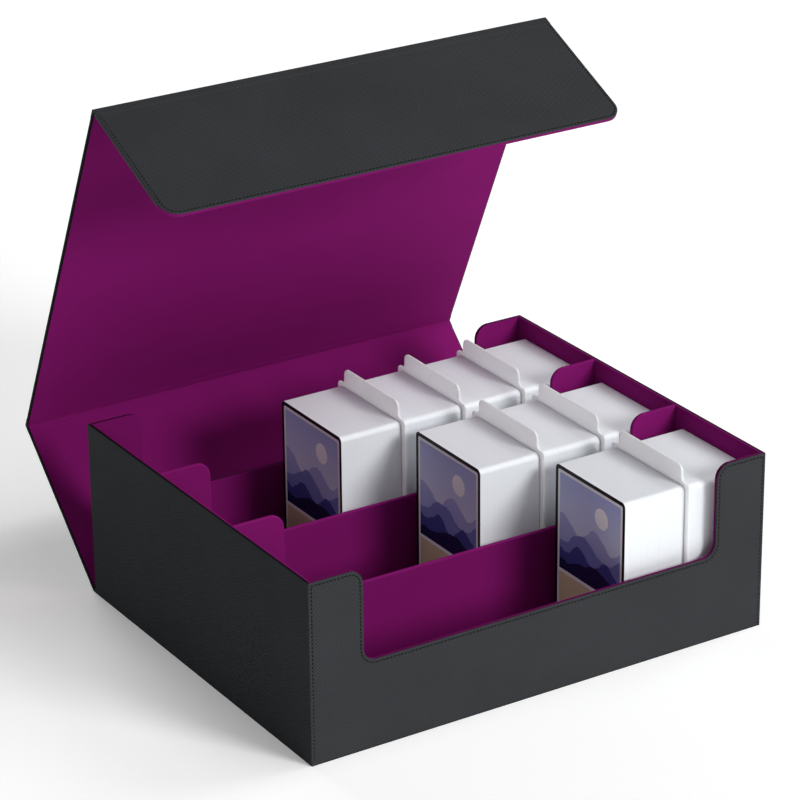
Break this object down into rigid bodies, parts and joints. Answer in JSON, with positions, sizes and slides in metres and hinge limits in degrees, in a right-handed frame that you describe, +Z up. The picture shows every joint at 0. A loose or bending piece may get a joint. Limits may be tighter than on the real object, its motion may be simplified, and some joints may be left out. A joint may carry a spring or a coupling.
{
  "type": "card storage box",
  "caption": "Open-lane card storage box in leatherette with a folding magnetic lid, finger dips in its walls, loose tabbed dividers and stacks of cards.",
  "frame": {"origin": "middle of the tray's underside, on the surface that the box stands on", "axes": "+X along the front from left to right, +Y from the front to the hinged rear, +Z up"},
  "size_m": [0.2804, 0.3071, 0.286],
  "materials": {
    "leatherette": "fine twill-embossed synthetic leather, satin",
    "suede_lining": "smooth short-nap suede cloth, matt",
    "greyboard": "solid grey paperboard, uncoated",
    "thread": "twisted polyester sewing thread",
    "magnet_steel": "plain nickel-plated discs",
    "divider_plastic": "satin polypropylene sheet",
    "card_stock": "white card edges, pressed into a block",
    "printed_card": "printed card with a dark border, satin"
  },
  "bodies": {
    "tray": {"base_board": "greyboard", "base_cover": "leatherette", "front_cover": "leatherette", "front_keepers": "magnet_steel", "front_lane_floor_lining": "suede_lining", "front_lane_wall_board": "greyboard", "front_lane_wall_lining": "suede_lining", "front_stitching": "thread", "front_wall_board": "greyboard", "front_wall_lining": "suede_lining", "left_end_board": "greyboard", "left_end_cover": "leatherette", "left_end_lining": "suede_lining", "middle_lane_floor_lining": "suede_lining", "rear_cover": "leatherette", "rear_lane_floor_lining": "suede_lining", "rear_lane_wall_board": "greyboard", "rear_lane_wall_lining": "suede_lining", "rear_wall_board": "greyboard", "rear_wall_lining": "suede_lining", "right_end_board": "greyboard", "right_end_cover": "leatherette", "right_end_lining": "suede_lining"},
    "lid_back": {"base_fold": "leatherette", "lid_back_board": "greyboard", "lid_back_cover": "leatherette", "lid_back_lining": "suede_lining"},
    "lid_top": {"rear_fold": "leatherette", "lid_top_board": "greyboard", "lid_top_cover": "leatherette", "lid_top_lining": "suede_lining"},
    "lid_flap": {"front_fold": "leatherette", "lid_flap_board": "greyboard", "lid_flap_cover": "leatherette", "lid_flap_lining": "suede_lining", "lid_flap_magnets": "magnet_steel", "lid_flap_stitching": "thread"},
    "front_cards_1": {"front_lane_stack_1": "card_stock"},
    "front_cards_2": {"front_lane_stack_2": "card_stock", "front_lane_face_card": "printed_card"},
    "front_divider_1": {"front_lane_divider_1": "divider_plastic"},
    "middle_cards_1": {"middle_lane_stack_1": "card_stock"},
    "middle_cards_2": {"middle_lane_stack_2": "card_stock"},
    "middle_cards_3": {"middle_lane_stack_3": "card_stock", "middle_lane_face_card": "printed_card"},
    "middle_divider_1": {"middle_lane_divider_1": "divider_plastic"},
    "middle_divider_2": {"middle_lane_divider_2": "divider_plastic"},
    "rear_cards_1": {"rear_lane_stack_1": "card_stock"},
    "rear_cards_2": {"rear_lane_stack_2": "card_stock"},
    "rear_cards_3": {"rear_lane_stack_3": "card_stock"},
    "rear_cards_4": {"rear_lane_stack_4": "card_stock", "rear_lane_face_card": "printed_card"},
    "rear_divider_1": {"rear_lane_divider_1": "divider_plastic"},
    "rear_divider_2": {"rear_lane_divider_2": "divider_plastic"},
    "rear_divider_3": {"rear_lane_divider_3": "divider_plastic"}
  },
  "joints": [
    {"name": "base_fold_hinge", "type": "hinge", "parent": "tray", "child": "lid_back", "pos_m": [0, 0.11715, 0.0015], "axis": [-1, 0, 0], "range_deg": [-46, 44]},
    {"name": "rear_fold_hinge", "type": "hinge", "parent": "lid_back", "child": "lid_top", "pos_m": [0, 0.19056, 0.07239], "axis": [-1, 0, 0], "range_deg": [-19, 71]},
    {"name": "front_fold_hinge", "type": "hinge", "parent": "lid_top", "child": "lid_flap", "pos_m": [0, 0.09154, 0.28474], "axis": [-1, 0, 0], "range_deg": [0, 90]},
    {"name": "front_cards_1_lift", "type": "slide", "parent": "tray", "child": "front_cards_1", "axis": [0, 0, 1], "range_m": [0, 0.11]},
    {"name": "front_cards_2_lift", "type": "slide", "parent": "tray", "child": "front_cards_2", "axis": [0, 0, 1], "range_m": [0, 0.11]},
    {"name": "front_divider_1_lift", "type": "slide", "parent": "tray", "child": "front_divider_1", "axis": [0, 0, 1], "range_m": [0, 0.11]},
    {"name": "middle_cards_1_lift", "type": "slide", "parent": "tray", "child": "middle_cards_1", "axis": [0, 0, 1], "range_m": [0, 0.11]},
    {"name": "middle_cards_2_lift", "type": "slide", "parent": "tray", "child": "middle_cards_2", "axis": [0, 0, 1], "range_m": [0, 0.11]},
    {"name": "middle_cards_3_lift", "type": "slide", "parent": "tray", "child": "middle_cards_3", "axis": [0, 0, 1], "range_m": [0, 0.11]},
    {"name": "middle_divider_1_lift", "type": "slide", "parent": "tray", "child": "middle_divider_1", "axis": [0, 0, 1], "range_m": [0, 0.11]},
    {"name": "middle_divider_2_lift", "type": "slide", "parent": "tray", "child": "middle_divider_2", "axis": [0, 0, 1], "range_m": [0, 0.11]},
    {"name": "rear_cards_1_lift", "type": "slide", "parent": "tray", "child": "rear_cards_1", "axis": [0, 0, 1], "range_m": [0, 0.11]},
    {"name": "rear_cards_2_lift", "type": "slide", "parent": "tray", "child": "rear_cards_2", "axis": [0, 0, 1], "range_m": [0, 0.11]},
    {"name": "rear_cards_3_lift", "type": "slide", "parent": "tray", "child": "rear_cards_3", "axis": [0, 0, 1], "range_m": [0, 0.11]},
    {"name": "rear_cards_4_lift", "type": "slide", "parent": "tray", "child": "rear_cards_4", "axis": [0, 0, 1], "range_m": [0, 0.11]},
    {"name": "rear_divider_1_lift", "type": "slide", "parent": "tray", "child": "rear_divider_1", "axis": [0, 0, 1], "range_m": [0, 0.11]},
    {"name": "rear_divider_2_lift", "type": "slide", "parent": "tray", "child": "rear_divider_2", "axis": [0, 0, 1], "range_m": [0, 0.11]},
    {"name": "rear_divider_3_lift", "type": "slide", "parent": "tray", "child": "rear_divider_3", "axis": [0, 0, 1], "range_m": [0, 0.11]}
  ]
}
